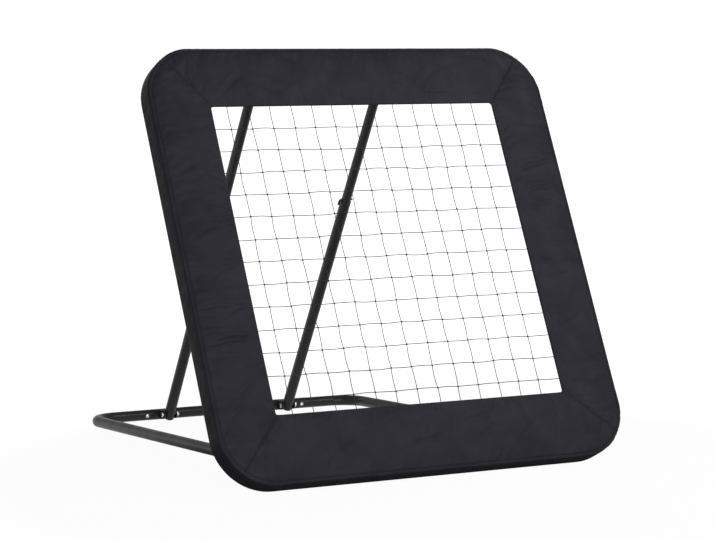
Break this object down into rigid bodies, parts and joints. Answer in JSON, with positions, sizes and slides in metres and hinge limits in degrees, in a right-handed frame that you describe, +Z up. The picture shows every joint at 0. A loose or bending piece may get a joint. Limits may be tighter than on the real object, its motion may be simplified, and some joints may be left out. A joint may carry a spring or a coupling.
{
  "type": "soccer rebound net",
  "caption": "Padded square rebound net that leans back on a floor base, with telescoping rear struts and lock pins that set how upright it stands.",
  "frame": {"origin": "on the floor, in the middle of the object's plan", "axes": "+Z up; -Y is the front, where the ball comes from; +X is to the right as seen from the front"},
  "size_m": [0.962, 1.0399, 0.8831],
  "materials": {
    "black_tube": "satin black powder coat",
    "pad_cover": "soft charcoal leatherette",
    "net_twine": "matte knotted twine",
    "border_rope": "matte twisted rope",
    "elastic": "braid-covered elastic cord",
    "webbing": "woven webbing",
    "zinc_steel": "bright zinc plate",
    "pin_steel": "dark coated steel rod",
    "black_plastic": "fine matte"
  },
  "bodies": {
    "floor_base": {"base_crossbar": "black_tube", "base_side_left": "black_tube", "base_side_right": "black_tube", "base_joint_screw_left": "zinc_steel", "base_joint_screw_right": "zinc_steel", "base_end_plug_left": "black_plastic", "base_end_plug_right": "black_plastic", "foot_bracket_left": "black_tube", "foot_bracket_right": "black_tube", "foot_pivot_bolt_left": "zinc_steel", "foot_pivot_bolt_right": "zinc_steel", "foot_pivot_nut_left": "zinc_steel", "foot_pivot_nut_right": "zinc_steel"},
    "net_frame": {"frame_rail_top": "black_tube", "frame_rail_right": "black_tube", "frame_rail_bottom": "black_tube", "frame_rail_left": "black_tube", "frame_corner_upper_left": "black_tube", "frame_corner_upper_right": "black_tube", "frame_corner_lower_left": "black_tube", "frame_corner_lower_right": "black_tube", "strut_bracket_left": "black_tube", "strut_bracket_right": "black_tube", "strut_pivot_bolt_left": "zinc_steel", "strut_pivot_bolt_right": "zinc_steel", "strut_pivot_nut_left": "zinc_steel", "strut_pivot_nut_right": "zinc_steel", "hinge_bracket_left": "black_tube", "hinge_bracket_right": "black_tube", "hinge_bolt_left": "zinc_steel", "hinge_bolt_right": "zinc_steel", "hinge_nut_left": "zinc_steel", "hinge_nut_right": "zinc_steel", "net": "net_twine", "net_border_rope": "border_rope", "elastic_lacing_top": "elastic", "elastic_lacing_right": "elastic", "elastic_lacing_bottom": "elastic", "elastic_lacing_left": "elastic", "pad_tie_top": "webbing", "pad_tie_right": "webbing", "pad_tie_bottom": "webbing", "pad_tie_left": "webbing", "pad_top": "pad_cover", "pad_right": "pad_cover", "pad_bottom": "pad_cover", "pad_left": "pad_cover"},
    "lower_strut_left": {"strut_lower_left": "black_tube", "strut_foot_plug_left": "black_plastic"},
    "lower_strut_right": {"strut_lower_right": "black_tube", "strut_foot_plug_right": "black_plastic"},
    "upper_strut_left": {"strut_upper_left": "black_tube", "strut_head_plug_left": "black_plastic"},
    "upper_strut_right": {"strut_upper_right": "black_tube", "strut_head_plug_right": "black_plastic"},
    "pin_left": {"lock_pin_left": "pin_steel"},
    "pin_right": {"lock_pin_right": "pin_steel"}
  },
  "joints": [
    {"name": "frame_tilt", "type": "hinge", "parent": "floor_base", "child": "net_frame", "pos_m": [0, -0.4411, 0.04954], "axis": [1, 0, 0], "range_deg": [0, 14]},
    {"name": "strut_foot_left", "type": "hinge", "parent": "floor_base", "child": "lower_strut_left", "pos_m": [-0.1575, 0.47667, 0.01496], "axis": [1, 0, 0], "range_deg": [0, 7]},
    {"name": "strut_foot_right", "type": "hinge", "parent": "floor_base", "child": "lower_strut_right", "pos_m": [0.1575, 0.47667, 0.01496], "axis": [1, 0, 0], "range_deg": [0, 7]},
    {"name": "strut_slide_left", "type": "slide", "parent": "lower_strut_left", "child": "upper_strut_left", "axis": [0, -0.5028, 0.8644], "range_m": [0, 0.184]},
    {"name": "strut_slide_right", "type": "slide", "parent": "lower_strut_right", "child": "upper_strut_right", "axis": [0, -0.5028, 0.8644], "range_m": [0, 0.184]},
    {"name": "lock_pin_left", "type": "slide", "parent": "upper_strut_left", "child": "pin_left", "axis": [1, 0, 0], "range_m": [0, 0.03]},
    {"name": "lock_pin_right", "type": "slide", "parent": "upper_strut_right", "child": "pin_right", "axis": [-1, 0, 0], "range_m": [0, 0.03]}
  ],
  "couplings": [
    {"joint": "strut_foot_left", "follows": "frame_tilt", "ratio": 0.4906},
    {"joint": "strut_foot_right", "follows": "frame_tilt", "ratio": 0.4906},
    {"joint": "strut_slide_left", "follows": "frame_tilt", "m_per_rad": 0.7502},
    {"joint": "strut_slide_right", "follows": "frame_tilt", "m_per_rad": 0.7502}
  ]
}
